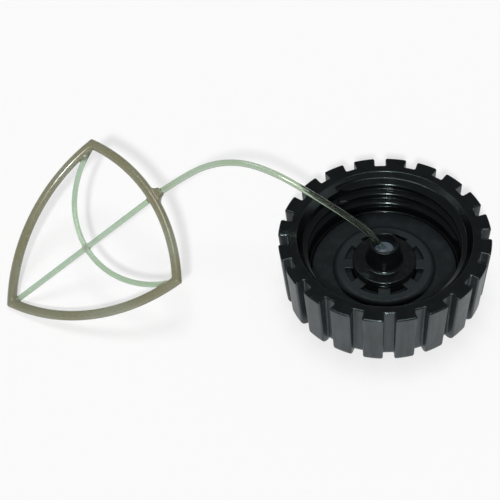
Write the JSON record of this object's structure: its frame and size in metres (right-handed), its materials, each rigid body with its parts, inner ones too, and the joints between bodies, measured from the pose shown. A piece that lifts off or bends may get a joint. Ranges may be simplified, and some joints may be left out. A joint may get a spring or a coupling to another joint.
{
  "type": "fuel filler cap",
  "caption": "Vented fuel tank cap with grip ribs, an internal thread and a gasket under a star lock ring, and a ball-ended retainer line that carries a rounded triangular ring.",
  "frame": {"origin": "centre of the closed face, which lies on the table", "axes": "+Z along the cap's axis and out of its mouth; -X towards the retainer's ring as it lies in the picture"},
  "size_m": [0.1177, 0.0587, 0.0308],
  "materials": {
    "cap_plastic": "satin black moulding, glossier inside",
    "gasket_rubber": "matte black sheet rubber",
    "star_steel": "dark phosphated spring steel",
    "hub_plastic": "glossy black moulding",
    "valve_rubber": "soft black rubber",
    "filter_felt": "off-white felt",
    "retainer_plastic": "natural translucent moulding, olive where it is thick"
  },
  "bodies": {
    "cap": {"cap_body": "cap_plastic", "cap_gasket": "gasket_rubber", "star_lock_ring": "star_steel", "vent_hub": "hub_plastic", "vent_valve": "valve_rubber", "vent_filter": "filter_felt"},
    "tether": {"tether_retainer": "retainer_plastic"}
  },
  "joints": [
    {"name": "tether_swivel", "type": "hinge", "parent": "cap", "child": "tether", "pos_m": [0, 0, 0.0122], "axis": [0, 0, 1], "continuous": true}
  ]
}
